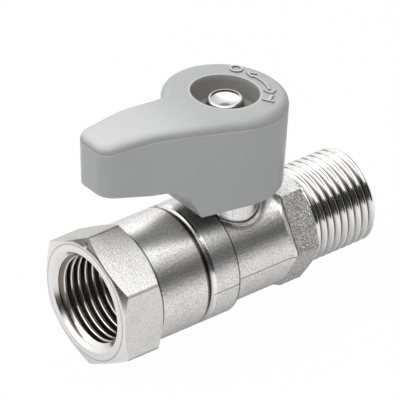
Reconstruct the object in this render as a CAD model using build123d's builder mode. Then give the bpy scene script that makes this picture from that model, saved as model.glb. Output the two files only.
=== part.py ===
from build123d import *
from math import acos, atan2, cos, radians, sin, sqrt, tan
import os

os.makedirs("parts", exist_ok=True)

# Millimetres and degrees. The bore runs along X and the stem stands up along Z.
# The origin is on the bore axis, a little inside the female mouth.

# Pipe thread, 1/2 inch
thread_major_radius = 10.48
thread_minor_radius = 9.32
thread_datum = 2.0

# End cap: female hexagon, skirt and the nose that screws into the body
cap_hex_across_flats = 27.0
cap_hex_length = 10.3
cap_hex_front_chamfer = 1.1
cap_hex_back_chamfer = 1.5
cap_face_radius = 12.84
cap_mouth_radius = 11.17
cap_thread_depth = 13.2
cap_relief_length = 1.8
cap_relief_depth = 0.2
cap_length = 22.4
skirt_radius = 13.1
nose_radius = 10.15
nose_wall = 1.5

# Groove where the end cap meets the body
groove_width = 1.25
groove_depth = 0.9

# Body: ring, barrel, spanner hexagon, male end
ring_length = 6.9
body_radius = 11.8
ring_step_chamfer = 0.35
body_tail = 9.8
male_hex_across_flats = 22.0
male_hex_length = 6.2
male_hex_chamfer = 0.95
hex_shoulder_length = 1.6
male_thread_length = 16.3
male_end_chamfer = 0.6
passage_radius = 5.0
outlet_bore_radius = 6.6
outlet_bore_depth = 19.0

# Ball, seats and seal
ball_radius = 7.75
port_radius = 4.75
ball_flat_radius = 5.25
slot_width = 3.2
slot_floor = 5.6
cavity_radius = 8.2
seat_outer_radius = 7.3
seat_front = 4.3
seat_back = 7.2
seat_clearance = 0.15
seal_thickness = 0.8
socket_depth = 6.2
fit_clearance = 0.05

# Stem and its boss
stem_setback = 12.95
stem_radius = 3.25
collar_radius = 3.95
collar_bottom = 8.05
collar_height = 0.85
washer_thickness = 0.8
blade_clearance = 0.15
boss_radius = 7.0
boss_top = 17.0
boss_foot_radius = 0.9
boss_mouth_chamfer = 0.4
ring_groove_depth = 1.15
ring_groove_width = 1.8
o_ring_width = 1.6
lower_ring_height = 11.9
upper_ring_height = 14.7
drive_flats = 4.6

# Handle, measured from the stem axis
hub_overhang = 0.5
hub_foot_inset = 1.6
lever_reach = 35.2
neck_reach = 23.0
neck_half_width = 6.3
neck_foot_flare = 0.9
neck_blend_radius = 16.0
tip_half_width = 4.9
tip_foot_inset = 0.45
tip_corner_radius = 3.2
crook_half_width = 5.0
crook_radius = 3.5
handle_top = 37.4
hub_slope = 5.45
crown_start = 8.0
crown_tip_height = 38.95
top_edge_radius = 2.0
skirt_bottom = 16.5
skirt_front_reach = 13.3
lever_underside = 24.0
underside_corner_reach = 17.1
underside_bend_reach = 24.0
underside_bend_height = 24.6
lever_tip_underside = 27.6
underside_corner_radius = 3.0
handle_wall = 2.2
recess_radius = 7.26
recess_floor = 32.2
recess_draft = 2.5
recess_wall = 1.8
recess_floor_thickness = 2.0
socket_wall = 2.35

# Quarter-turn stop between the boss and the handle
quarter_turn = 90.0
stop_start_angle = -65.0
stop_arc = 130.0
stop_height = 1.5
stop_inner_radius = 4.0
stop_play = 1.0
stop_gap = 0.3
stem_top_gap = 0.3

# Screw that holds the handle, and its washer
screw_radius = 1.95
screw_length = 9.0
screw_end_chamfer = 0.3
handle_washer_radius = 4.8
handle_washer_thickness = 0.8
head_foot_radius = 4.2
head_rim_radius = 3.65
head_height = 2.9
head_rim_width = 0.5
head_rim_chamfer = 0.2
head_lip_depth = 0.35
head_dish_depth = 0.45

# Places along the bore
face_x = -thread_datum
mouth_end_x = face_x + cap_mouth_radius - thread_minor_radius
thread_end_x = face_x + cap_thread_depth
relief_end_x = thread_end_x + cap_relief_length
cap_hex_end_x = face_x + cap_hex_length
cap_end_x = face_x + cap_length
joint_x = cap_end_x + groove_width / 2
ring_start_x = cap_end_x + groove_width
ring_end_x = ring_start_x + ring_length
stem_x = ring_start_x + stem_setback
nose_end_x = stem_x - seat_front
socket_end_x = ring_start_x + socket_depth
seal_x = socket_end_x - seal_thickness
hex_start_x = stem_x + body_tail
hex_end_x = hex_start_x + male_hex_length
shoulder_x = hex_start_x - hex_shoulder_length
outlet_x = hex_end_x + male_thread_length

# Radii worked out from the fits
hub_radius = skirt_radius + hub_overhang
cap_hex_corner_radius = cap_hex_across_flats / sqrt(3)
male_hex_corner_radius = male_hex_across_flats / sqrt(3)
groove_radius = skirt_radius - groove_depth
cap_relief_radius = thread_major_radius + cap_relief_depth
pocket_radius = seat_outer_radius + fit_clearance
nose_tip_radius = pocket_radius + nose_wall
stem_bore_radius = stem_radius + fit_clearance
ring_groove_radius = stem_radius - ring_groove_depth
socket_radius = stem_radius + socket_wall

# Heights on the stem
blade_bottom = slot_floor + blade_clearance
collar_top = collar_bottom + collar_height
roof_height = collar_top + washer_thickness
hub_foot = boss_top + stop_height + stop_gap
stem_top = recess_floor - stem_top_gap
head_bottom = recess_floor + handle_washer_thickness
screw_bottom = head_bottom - screw_length
head_top = head_bottom + head_height
outline_height = crown_tip_height + top_edge_radius
below_skirt = skirt_bottom - handle_wall
far_reach = lever_reach + handle_wall
hub_far = hub_radius + handle_wall


def stem_plane(height):
    """Level plane centred on the stem axis."""
    return Plane(origin=(stem_x, 0, height), x_dir=(1, 0, 0), z_dir=(0, 0, 1))


# Upright plane through the stem axis: X along the bore, Y up the stem
side_plane = Plane(origin=(stem_x, 0, 0), x_dir=(1, 0, 0), z_dir=(0, -1, 0))
stem_axis = Axis((stem_x, 0, 0), (0, 0, 1))


def sector(start_angle, arc, inner_radius, outer_radius):
    """Piece of a ring between two radii."""
    with BuildSketch() as shape:
        with BuildLine():
            outer = CenterArc((0, 0), outer_radius, start_angle, arc)
            inner = CenterArc((0, 0), inner_radius, start_angle, arc)
            Line(outer @ 0, inner @ 0)
            Line(outer @ 1, inner @ 1)
        make_face()
    return shape.sketch


def drive_section(clearance):
    """Round with two flats that turns the handle with the stem."""
    with BuildSketch() as section:
        Circle(stem_radius + clearance)
        Rectangle(drive_flats + 2 * clearance, 4 * stem_radius, mode=Mode.INTERSECT)
    return section.sketch


boss_stop = sector(stop_start_angle, stop_arc, stop_inner_radius, boss_radius - boss_mouth_chamfer)
lug_arc = 360 - stop_arc - quarter_turn - 2 * stop_play
handle_lug = sector(stop_start_angle - stop_play - lug_arc, lug_arc, stop_inner_radius, socket_radius)
stem_drive = drive_section(0)
socket_drive = drive_section(fit_clearance)

# End cap: hexagon bar with both ends turned off, then the skirt, nose and bore
with BuildPart() as end_cap:
    with BuildSketch(Plane.YZ.offset(face_x)):
        RegularPolygon(cap_hex_corner_radius, 6, rotation=90)
    extrude(amount=cap_hex_length)
    with BuildSketch(Plane.XY):
        with BuildLine():
            Polyline(
                (face_x, 0),
                (face_x, cap_face_radius),
                (face_x + cap_hex_front_chamfer, cap_hex_corner_radius),
                (cap_hex_end_x - cap_hex_back_chamfer, cap_hex_corner_radius),
                (cap_hex_end_x, skirt_radius),
                (cap_hex_end_x, 0),
                close=True,
            )
        make_face()
    revolve(axis=Axis.X, mode=Mode.INTERSECT)
    with BuildSketch(Plane.XY):
        with BuildLine():
            Polyline(
                (cap_hex_end_x, 0),
                (cap_hex_end_x, skirt_radius),
                (cap_end_x, skirt_radius),
                (joint_x, groove_radius),
                (joint_x, nose_radius),
                (seal_x, nose_radius),
                (seal_x, nose_tip_radius),
                (nose_end_x, nose_tip_radius),
                (nose_end_x, 0),
                close=True,
            )
        make_face()
    revolve(axis=Axis.X)
    with BuildSketch(Plane.XY):
        with BuildLine():
            Polyline(
                (face_x, 0),
                (face_x, cap_mouth_radius),
                (mouth_end_x, thread_minor_radius),
                (thread_end_x, thread_minor_radius),
                (thread_end_x, cap_relief_radius),
                (relief_end_x, cap_relief_radius),
                (relief_end_x, thread_minor_radius),
                (relief_end_x + thread_minor_radius - passage_radius, passage_radius),
                (stem_x - seat_back, passage_radius),
                (stem_x - seat_back, pocket_radius),
                (nose_end_x, pocket_radius),
                (nose_end_x, 0),
                close=True,
            )
        make_face()
    revolve(axis=Axis.X, mode=Mode.SUBTRACT)
end_cap.part.label = "end_cap"
export_step(end_cap.part, "parts/end_cap.step")

# Spanner hexagon of the body, with the shoulder that the barrel runs into it by
with BuildPart() as spanner_hex:
    with BuildSketch(Plane.YZ.offset(hex_start_x)):
        RegularPolygon(male_hex_corner_radius, 6, rotation=0)
    extrude(amount=male_hex_length)
    with BuildSketch(Plane.YZ.offset(shoulder_x)):
        RegularPolygon(body_radius * 2 / sqrt(3), 6, rotation=0)
    with BuildSketch(Plane.YZ.offset(hex_start_x)):
        RegularPolygon(male_hex_corner_radius, 6, rotation=0)
    loft(ruled=True)
    with BuildSketch(Plane.XY):
        with BuildLine():
            Polyline(
                (shoulder_x, 0),
                (shoulder_x, body_radius),
                (hex_start_x, male_hex_corner_radius),
                (hex_end_x - male_hex_chamfer, male_hex_corner_radius),
                (hex_end_x, male_hex_across_flats / 2),
                (hex_end_x, 0),
                close=True,
            )
        make_face()
    revolve(axis=Axis.X, mode=Mode.INTERSECT)

# Body: one pressed and turned piece from the ring to the male end
with BuildPart() as body:
    with BuildSketch(Plane.XY):
        with BuildLine():
            Polyline(
                (ring_start_x, 0),
                (ring_start_x, body_radius),
                (shoulder_x, body_radius),
                (shoulder_x, thread_major_radius),
                (outlet_x - male_end_chamfer, thread_major_radius),
                (outlet_x, thread_major_radius - male_end_chamfer),
                (outlet_x, 0),
                close=True,
            )
        make_face()
    revolve(axis=Axis.X)
    with BuildSketch(stem_plane(0)):
        Circle(boss_radius)
    extrude(amount=boss_top)
    boss_foot = body.edges().filter_by(GeomType.BSPLINE)
    fillet(boss_foot, radius=boss_foot_radius)
    add(spanner_hex.part)
    with BuildSketch(Plane.XY):
        with BuildLine():
            Polyline(
                (joint_x, 0),
                (joint_x, groove_radius),
                (ring_start_x, skirt_radius),
                (ring_end_x, skirt_radius),
                (ring_end_x + ring_step_chamfer, body_radius),
                (ring_end_x + ring_step_chamfer, 0),
                close=True,
            )
        make_face()
    revolve(axis=Axis.X)
    with BuildSketch(Plane.XY):
        with BuildLine():
            Polyline(
                (joint_x, 0),
                (joint_x, nose_radius + fit_clearance),
                (socket_end_x, nose_radius + fit_clearance),
                (socket_end_x, nose_tip_radius + fit_clearance),
                (nose_end_x + fit_clearance, nose_tip_radius + fit_clearance),
                (nose_end_x + fit_clearance, cavity_radius),
                (stem_x + seat_front, cavity_radius),
                (stem_x + seat_front, pocket_radius),
                (stem_x + seat_back, pocket_radius),
                (stem_x + seat_back, passage_radius),
                (outlet_x - outlet_bore_depth, passage_radius),
                (outlet_x - outlet_bore_depth, outlet_bore_radius),
                (outlet_x, outlet_bore_radius),
                (outlet_x, 0),
                close=True,
            )
        make_face()
    revolve(axis=Axis.X, mode=Mode.SUBTRACT)
    with BuildSketch(stem_plane(0)):
        Circle(collar_radius + fit_clearance)
    extrude(amount=roof_height, mode=Mode.SUBTRACT)
    with BuildSketch(stem_plane(0)):
        Circle(stem_bore_radius)
    extrude(amount=boss_top, mode=Mode.SUBTRACT)
    boss_mouth = body.edges().filter_by(GeomType.CIRCLE).group_by(Axis.Z)[-1]
    chamfer(boss_mouth, length=boss_mouth_chamfer)
    with BuildSketch(stem_plane(boss_top)):
        add(boss_stop)
    extrude(amount=stop_height)
body.part.label = "body"
export_step(body.part, "parts/body.step")

# Seal squeezed between the step of the nose and the body
with BuildPart() as cap_seal:
    with BuildSketch(Plane.YZ.offset(seal_x)):
        Circle(nose_radius)
        Circle(nose_tip_radius + fit_clearance, mode=Mode.SUBTRACT)
    extrude(amount=seal_thickness)
cap_seal.part.label = "cap_seal"
export_step(cap_seal.part, "parts/cap_seal.step")

# Ball: port along X, slot for the stem's blade across it
port_half_length = sqrt(ball_radius**2 - ball_flat_radius**2)
with BuildPart() as ball:
    with BuildSketch(Plane.XY):
        with BuildLine():
            ends = Polyline(
                (stem_x - port_half_length, ball_flat_radius),
                (stem_x - port_half_length, port_radius),
                (stem_x + port_half_length, port_radius),
                (stem_x + port_half_length, ball_flat_radius),
            )
            ThreePointArc(ends @ 1, (stem_x, ball_radius), ends @ 0)
        make_face()
    revolve(axis=Axis.X)
    with BuildSketch(stem_plane(slot_floor)):
        Rectangle(slot_width, 2 * ball_radius)
    extrude(amount=ball_radius, mode=Mode.SUBTRACT)
ball.part.label = "ball"
export_step(ball.part, "parts/ball.step")

# Seats on both sides of the ball, hollowed to its curve
seat_reach = ball_radius + seat_clearance
inner_lip = sqrt(seat_reach**2 - passage_radius**2)
outer_lip = sqrt(seat_reach**2 - seat_front**2)
lip_angle = (atan2(passage_radius, inner_lip) + atan2(outer_lip, seat_front)) / 2
for seat_name, side in (("seat_inlet", -1), ("seat_outlet", 1)):
    with BuildPart() as seat:
        with BuildSketch(Plane.XY):
            with BuildLine():
                backs = Polyline(
                    (stem_x + side * inner_lip, passage_radius),
                    (stem_x + side * seat_back, passage_radius),
                    (stem_x + side * seat_back, seat_outer_radius),
                    (stem_x + side * seat_front, seat_outer_radius),
                    (stem_x + side * seat_front, outer_lip),
                )
                middle = (stem_x + side * seat_reach * cos(lip_angle), seat_reach * sin(lip_angle))
                ThreePointArc(backs @ 1, middle, backs @ 0)
            make_face()
        revolve(axis=Axis.X)
    seat.part.label = seat_name
    export_step(seat.part, f"parts/{seat_name}.step")

# Stem: blade in the ball's slot, collar that can't be blown out, two seal
# grooves, flats that carry the handle and a hole for its screw
with BuildPart() as stem:
    with BuildSketch(stem_plane(blade_bottom)):
        Circle(collar_radius)
    extrude(amount=collar_top - blade_bottom)
    with BuildSketch(stem_plane(blade_bottom)):
        Circle(2 * collar_radius)
        Rectangle(slot_width - 2 * blade_clearance, 4 * collar_radius, mode=Mode.SUBTRACT)
    extrude(amount=collar_bottom - blade_bottom, mode=Mode.SUBTRACT)
    with BuildSketch(stem_plane(collar_top)):
        Circle(stem_radius)
    extrude(amount=hub_foot - collar_top)
    with BuildSketch(stem_plane(hub_foot)):
        add(stem_drive)
    extrude(amount=stem_top - hub_foot)
    for ring_height in (lower_ring_height, upper_ring_height):
        with BuildSketch(stem_plane(ring_height - ring_groove_width / 2)):
            Circle(2 * stem_radius)
            Circle(ring_groove_radius, mode=Mode.SUBTRACT)
        extrude(amount=ring_groove_width, mode=Mode.SUBTRACT)
    with BuildSketch(stem_plane(stem_top)):
        Circle(screw_radius + fit_clearance)
    extrude(amount=screw_bottom - stem_top - screw_end_chamfer, mode=Mode.SUBTRACT)
stem.part.label = "stem"
export_step(stem.part, "parts/stem.step")

# Slippery washer between the collar and the body
with BuildPart() as stem_washer:
    with BuildSketch(stem_plane(collar_top)):
        Circle(collar_radius)
        Circle(stem_bore_radius, mode=Mode.SUBTRACT)
    extrude(amount=washer_thickness - fit_clearance)
stem_washer.part.label = "stem_washer"
export_step(stem_washer.part, "parts/stem_washer.step")

# Seal rings, squeezed oval in the stem's grooves
o_ring_places = (("stem_o_ring_lower", lower_ring_height), ("stem_o_ring_upper", upper_ring_height))
for ring_name, ring_height in o_ring_places:
    with BuildPart() as o_ring:
        with BuildSketch(side_plane):
            with Locations((stem_radius - ring_groove_depth / 2, ring_height)):
                Ellipse(ring_groove_depth / 2, o_ring_width / 2)
        revolve(axis=stem_axis)
    o_ring.part.label = ring_name
    export_step(o_ring.part, f"parts/{ring_name}.step")


def handle_outline(inset, hub, neck, tip_inset):
    """Handle seen from above: hub, lever, one straight flank and one crook."""
    neck_angle = atan2(-neck, -neck_reach)
    flank_angle = neck_angle + acos(hub / sqrt(neck_reach**2 + neck**2))
    flank_end = (hub * cos(flank_angle), hub * sin(flank_angle))
    tip_x, tip_y = -lever_reach + tip_inset, tip_half_width - tip_inset
    tip_near, tip_far = (tip_x, -tip_y), (tip_x, tip_y)
    neck_near, neck_far = (-neck_reach, -neck), (-neck_reach, neck)
    crook = (-crook_half_width, crook_half_width)
    with BuildSketch() as outline:
        with BuildLine():
            Polyline(tip_near, neck_near, flank_end, (0, 0), crook, neck_far, tip_far, close=True)
        make_face()
        Circle(hub)
        crook_corner = (-sqrt(hub**2 - crook_half_width**2), crook_half_width)
        rounded = (
            (crook_corner, crook_radius),
            (tip_near, tip_corner_radius),
            (tip_far, tip_corner_radius),
            (neck_near, neck_blend_radius),
            (neck_far, neck_blend_radius),
        )
        for corner, corner_radius in rounded:
            fillet(outline.vertices().sort_by_distance(corner)[0], radius=corner_radius)
        if inset > 0:
            offset(amount=-inset)
    return outline.sketch


def handle_block(inset):
    """Full height of the handle inside its walls: the hub tapers, the lever stays wide."""
    foot_hub, foot_neck = hub_radius - hub_foot_inset, neck_half_width + neck_foot_flare
    with BuildPart() as block:
        with BuildSketch(stem_plane(below_skirt)):
            add(handle_outline(inset, foot_hub, foot_neck, tip_foot_inset))
        with BuildSketch(stem_plane(outline_height)):
            add(handle_outline(inset, hub_radius, neck_half_width, 0))
        loft(ruled=True)
    return block.part


def under_top(drop, hub_end, below):
    """Upright face under the crowned top, closed by the points below it."""
    def sloped(reach):
        return (reach, handle_top - drop - reach * tan(radians(hub_slope)))

    tip = (-far_reach, crown_tip_height - drop)
    with BuildSketch() as face:
        with BuildLine():
            slope = Line(sloped(hub_end), sloped(-crown_start))
            TangentArc(slope @ 1, tip, tangent=slope % 1)
            Polyline(tip, *below, slope @ 0)
        make_face()
    return face.sketch


def lever_end_face(drop, below, reach):
    """The same face, kept only beyond a given reach along the lever."""
    with BuildSketch() as face:
        add(under_top(drop, hub_radius, below))
        with Locations((-reach, below_skirt)):
            Rectangle(2 * lever_reach, 2 * handle_top, align=(Align.MAX, Align.MIN), mode=Mode.INTERSECT)
    return face.sketch


# Side view of the handle: crowned top, lever's underside, deep skirt at the hub
with BuildSketch() as handle_side:
    add(under_top(0, hub_far, (
        (-far_reach, lever_tip_underside),
        (-underside_bend_reach, underside_bend_height),
        (-underside_corner_reach, lever_underside),
        (-skirt_front_reach, skirt_bottom),
        (hub_far, skirt_bottom),
    )))
    underside_corner = (-underside_corner_reach, lever_underside)
    fillet(handle_side.vertices().sort_by_distance(underside_corner)[0], radius=underside_corner_radius)

# The two hollows below the roof, parted by the skirt's front wall
lever_hollow_side = lever_end_face(
    handle_wall, ((-far_reach, below_skirt), (hub_radius, below_skirt)), underside_corner_reach
)
front_slope = (underside_corner_reach - skirt_front_reach) / (lever_underside - skirt_bottom)
with BuildSketch() as hub_hollow_side:
    add(under_top(handle_wall, hub_far, ((-far_reach, below_skirt), (hub_far, below_skirt))))
    with BuildLine():
        Polyline(
            (-underside_corner_reach + handle_wall, outline_height),
            (-underside_corner_reach + handle_wall, lever_underside),
            (-skirt_front_reach + handle_wall * (1 + front_slope), below_skirt),
            (hub_far, below_skirt),
            (hub_far, outline_height),
            close=True,
        )
    make_face(mode=Mode.INTERSECT)


def hollow(side_face):
    """Space inside the handle's sloping walls, as far as a side face reaches."""
    with BuildPart() as space:
        add(handle_block(handle_wall))
        with BuildSketch(side_plane):
            add(side_face)
        extrude(amount=hub_far, both=True, mode=Mode.INTERSECT)
    return space.part


lever_hollow = hollow(lever_hollow_side)
with BuildPart() as hub_hollow:
    add(hollow(hub_hollow_side.sketch))
    with BuildSketch(stem_plane(recess_floor - recess_floor_thickness)):
        Circle(recess_radius + recess_wall)
    extrude(amount=handle_top, mode=Mode.SUBTRACT)
    with BuildSketch(stem_plane(hub_foot)):
        Circle(socket_radius)
    extrude(amount=handle_top, mode=Mode.SUBTRACT)

# Handle: one moulding, tapered and crowned, hollow below, recessed at the hub
with BuildPart() as handle:
    add(handle_block(0))
    with BuildSketch(side_plane):
        add(handle_side.sketch)
    extrude(amount=hub_far, both=True, mode=Mode.INTERSECT)
    top_faces = handle.faces().filter_by(lambda face: face.normal_at().Z > 0.9)
    roof_seam = top_faces.edges().filter_by(Axis.Y).sort_by(Axis.X)[-1]
    rim = top_faces.edges().filter_by(lambda edge: edge != roof_seam)
    fillet(rim, radius=top_edge_radius)
    add(lever_hollow, mode=Mode.SUBTRACT)
    add(hub_hollow.part, mode=Mode.SUBTRACT)
    with BuildSketch(stem_plane(recess_floor)):
        Circle(recess_radius - (handle_top - recess_floor) * tan(radians(recess_draft)))
    extrude(amount=outline_height - recess_floor, taper=-recess_draft, mode=Mode.SUBTRACT)
    with BuildSketch(stem_plane(hub_foot)):
        add(socket_drive)
    extrude(amount=recess_floor - hub_foot, mode=Mode.SUBTRACT)
    with BuildSketch(stem_plane(boss_top + stop_gap)):
        add(handle_lug)
    extrude(amount=stop_height)
handle.part.label = "handle"
export_step(handle.part, "parts/handle.step")

# Washer on the recess floor
with BuildPart() as handle_washer:
    with BuildSketch(stem_plane(recess_floor)):
        Circle(handle_washer_radius)
        Circle(screw_radius + fit_clearance, mode=Mode.SUBTRACT)
    extrude(amount=handle_washer_thickness)
handle_washer.part.label = "handle_washer"
export_step(handle_washer.part, "parts/handle_washer.step")

# Screw: shank in the stem's hole, flared head with a dished top
with BuildPart() as handle_screw:
    with BuildSketch(side_plane):
        with BuildLine():
            outside = Polyline(
                (0, head_top - head_lip_depth - head_dish_depth),
                (0, screw_bottom),
                (screw_radius - screw_end_chamfer, screw_bottom),
                (screw_radius, screw_bottom + screw_end_chamfer),
                (screw_radius, head_bottom),
                (head_foot_radius, head_bottom),
                (head_rim_radius, head_top - head_rim_chamfer),
                (head_rim_radius - head_rim_chamfer, head_top),
                (head_rim_radius - head_rim_width, head_top),
                (head_rim_radius - head_rim_width, head_top - head_lip_depth),
            )
            TangentArc(outside @ 0, outside @ 1, tangent=(1, 0))
        make_face()
    revolve(axis=stem_axis)
handle_screw.part.label = "handle_screw"
export_step(handle_screw.part, "parts/handle_screw.step")
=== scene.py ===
"""Dressed scene of a mini ball valve with a moulded lever."""

from __future__ import annotations

import logging
import math
from dataclasses import dataclass
from enum import Enum
from typing import Iterable

import bmesh
import bpy
import numpy as np
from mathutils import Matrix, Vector
from mathutils.bvhtree import BVHTree

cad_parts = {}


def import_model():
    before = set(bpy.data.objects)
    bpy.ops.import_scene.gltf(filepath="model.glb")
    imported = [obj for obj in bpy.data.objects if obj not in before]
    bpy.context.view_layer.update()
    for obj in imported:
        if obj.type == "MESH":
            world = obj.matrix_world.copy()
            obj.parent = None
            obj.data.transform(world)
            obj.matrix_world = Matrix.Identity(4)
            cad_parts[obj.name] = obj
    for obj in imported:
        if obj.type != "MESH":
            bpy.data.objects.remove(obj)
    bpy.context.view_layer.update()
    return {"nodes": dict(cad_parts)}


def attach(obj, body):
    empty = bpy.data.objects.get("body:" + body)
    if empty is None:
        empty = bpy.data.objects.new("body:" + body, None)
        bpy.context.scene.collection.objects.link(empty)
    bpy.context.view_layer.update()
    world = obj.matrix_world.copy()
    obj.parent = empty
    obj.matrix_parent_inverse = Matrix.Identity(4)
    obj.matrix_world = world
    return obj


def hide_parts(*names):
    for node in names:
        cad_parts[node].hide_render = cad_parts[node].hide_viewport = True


LOG = logging.getLogger("valve")
MM = 0.001
PER_METRE = 1000.0
STEM_X = 34.6
FULL_TURN = 2.0 * math.pi

WHITE = (1.0, 1.0, 1.0, 1.0)
METAL = {"Metallic": 1.0}
MOULDED = {"IOR": 1.52}
PLAIN: dict[str, float] = {}

Colour = tuple[float, float, float]
Point = tuple[float, float]
Span = tuple[float, float]


class Term:
    """A number that comes out of a node, used in expressions."""

    def __init__(self, graph: Graph, socket: bpy.types.NodeSocket) -> None:
        """Keeps the graph and the output that carries the number."""
        self.graph = graph
        self.socket = socket

    def _math(self, operation: str, *values: Term | float) -> Term:
        """Result of one Math node with its inputs in order."""
        inputs = dict(enumerate(values))
        return self.graph.add("ShaderNodeMath", {"operation": operation}, inputs).out(0)

    def __add__(self, other: Term | float) -> Term:
        """Sum of two values."""
        return self._math("ADD", self, other)

    __radd__ = __add__

    def __sub__(self, other: Term | float) -> Term:
        """Difference of two values."""
        return self._math("SUBTRACT", self, other)

    def __rsub__(self, other: float) -> Term:
        """Difference with the number first."""
        return self._math("SUBTRACT", other, self)

    def __mul__(self, other: Term | float) -> Term:
        """Product of two values."""
        return self._math("MULTIPLY", self, other)

    __rmul__ = __mul__

    def __abs__(self) -> Term:
        """Size without the sign."""
        return self._math("ABSOLUTE", self)

    def at_most(self, limit: float) -> Term:
        """Value held below a limit."""
        return self._math("MINIMUM", self, limit)

    def at_least(self, limit: float) -> Term:
        """Value held above a limit."""
        return self._math("MAXIMUM", self, limit)

    def clamped(self) -> Term:
        """Value held between 0 and 1."""
        return self.graph.add("ShaderNodeClamp", {}, {"Value": self}).out(0)

    def ramp(self, start: float, end: float) -> Term:
        """Smooth step from 0 at start to 1 at end.

        Args:
            start: Value where the step begins.
            end: Value where it is full, also below start.

        Returns:
            The step's height.
        """
        low, high = (start, end) if start < end else (end, start)
        settings = {"interpolation_type": "SMOOTHSTEP"}
        values = {"Value": self, "From Min": low, "From Max": high}
        step = self.graph.add("ShaderNodeMapRange", settings, values).out(0)
        return step if start < end else 1.0 - step

    def near(self, place: float, soft: Span) -> Term:
        """Band about a place, gone and full at the two distances in soft."""
        return abs(self - place).ramp(*soft)


class Placed:
    """A node, with its outputs by name or number."""

    def __init__(self, graph: Graph, node: bpy.types.Node) -> None:
        """Keeps the node and the graph that holds it."""
        self.graph = graph
        self.node = node

    def out(self, key: str | int) -> Term:
        """Output of the node, ready for expressions."""
        return Term(self.graph, self.node.outputs[key])


class Graph:
    """Builds the nodes of one material or world."""

    def __init__(self, tree: bpy.types.NodeTree) -> None:
        """Empties the tree that is to be filled."""
        self.tree = tree
        tree.nodes.clear()

    def add(self, kind: str, settings: dict | None = None, values: dict | None = None) -> Placed:
        """Adds a node, sets it up, then fills its inputs.

        Args:
            kind: The node's type name.
            settings: Properties to set first.
            values: Inputs by name or number, each a constant or a Term.

        Returns:
            The node in its wrapper.
        """
        node = self.tree.nodes.new(kind)
        for name, value in (settings or {}).items():
            setattr(node, name, value)
        for key, value in (values or {}).items():
            if isinstance(value, Term):
                self.tree.links.new(value.socket, node.inputs[key])
            else:
                node.inputs[key].default_value = value
        return Placed(self, node)

    def blend(self, factor: Term, first: Term | Colour, second: Term | Colour) -> Term:
        """Mixes two colours.

        Args:
            factor: 0 gives the first colour, 1 the second.
            first: A colour or a colour output.
            second: A colour or a colour output.

        Returns:
            The mixed colour.
        """
        inputs: dict = {0: factor}
        for slot, colour in ((6, first), (7, second)):
            inputs[slot] = colour if isinstance(colour, Term) else (*colour, 1.0)
        return self.add("ShaderNodeMix", {"data_type": "RGBA"}, inputs).out(2)

    def place(self) -> Term:
        """Position on the object in metres."""
        return self.add("ShaderNodeTexCoord").out("Object")

    def vector_math(self, operation: str, *values: Term | Colour) -> Placed:
        """One Vector Math node with its inputs in order."""
        return self.add("ShaderNodeVectorMath", {"operation": operation}, dict(enumerate(values)))

    def stretched(self, vector: Term, scale: Colour) -> Term:
        """Vector times a scale on each axis."""
        return self.vector_math("MULTIPLY", vector, scale).out(0)

    def moved_back(self, vector: Term, origin: Colour) -> Term:
        """Vector from an origin."""
        return self.vector_math("SUBTRACT", vector, origin).out(0)

    def length(self, vector: Term) -> Term:
        """Length of a vector."""
        return self.vector_math("LENGTH", vector).out("Value")

    def parts(self, vector: Term) -> tuple[Term, Term, Term]:
        """The X, Y and Z of a vector."""
        split = self.add("ShaderNodeSeparateXYZ", {}, {0: vector})
        return split.out(0), split.out(1), split.out(2)

    def noise(self, vector: Term, grain: float, detail: float = 2.0) -> Term:
        """Cloudy noise between 0 and 1, with blotches of a width in the vector's unit."""
        values = {"Vector": vector, "Scale": 1.0 / grain, "Detail": detail, "Roughness": 0.6}
        return self.add("ShaderNodeTexNoise", {}, values).out(0)

    def bump(self, height: Term, distance: float) -> Term:
        """Normal bent by a height from 0 to 1, over a distance in metres."""
        values = {"Height": height, "Distance": distance}
        return self.add("ShaderNodeBump", {}, values).out("Normal")

    def radius_about_bore(self) -> Term:
        """Distance from the bore's axis in millimetres."""
        return self.length(self.stretched(self.place(), (0.0, PER_METRE, PER_METRE)))

    def offset_from_stem(self) -> Term:
        """Vector from the stem's axis in plan, in millimetres."""
        offset = self.moved_back(self.place(), (STEM_X * MM, 0.0, 0.0))
        return self.stretched(offset, (PER_METRE, PER_METRE, 0.0))

    def along(self, axis: int) -> Term:
        """Coordinate on one axis in millimetres."""
        return self.parts(self.place())[axis] * PER_METRE

    def facing(self) -> tuple[Term, Term, Term]:
        """The X, Y and Z of the surface's own normal."""
        return self.parts(self.add("ShaderNodeTexCoord").out("Normal"))

    def shader(self, extra: dict, colour: Term, rough: Term, normal: Term | None = None) -> Placed:
        """Principled shader.

        Args:
            extra: Constants of the kind of stuff, such as METAL.
            colour: Its colour.
            rough: Its roughness.
            normal: Its bent normal, if any.

        Returns:
            The shader node.
        """
        bent = {} if normal is None else {"Normal": normal}
        values = {"Base Color": colour, "Roughness": rough, **extra, **bent}
        return self.add("ShaderNodeBsdfPrincipled", {}, values)


class Finish:
    """Base of the finishes: makes its material once."""

    label = "finish"

    def material(self) -> bpy.types.Material:
        """Makes the material on first use.

        Returns:
            The finish's material.
        """
        name = f"{self.label}_finish"
        made = bpy.data.materials.get(name)
        if made is None:
            made = bpy.data.materials.new(name)
            made.use_nodes = True
            graph = Graph(made.node_tree)
            surface = self.surface(graph)
            graph.add("ShaderNodeOutputMaterial", {}, {"Surface": surface.out(0)})
        return made

    def surface(self, graph: Graph) -> Placed:
        """Shader of the finish."""
        raise NotImplementedError


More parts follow.
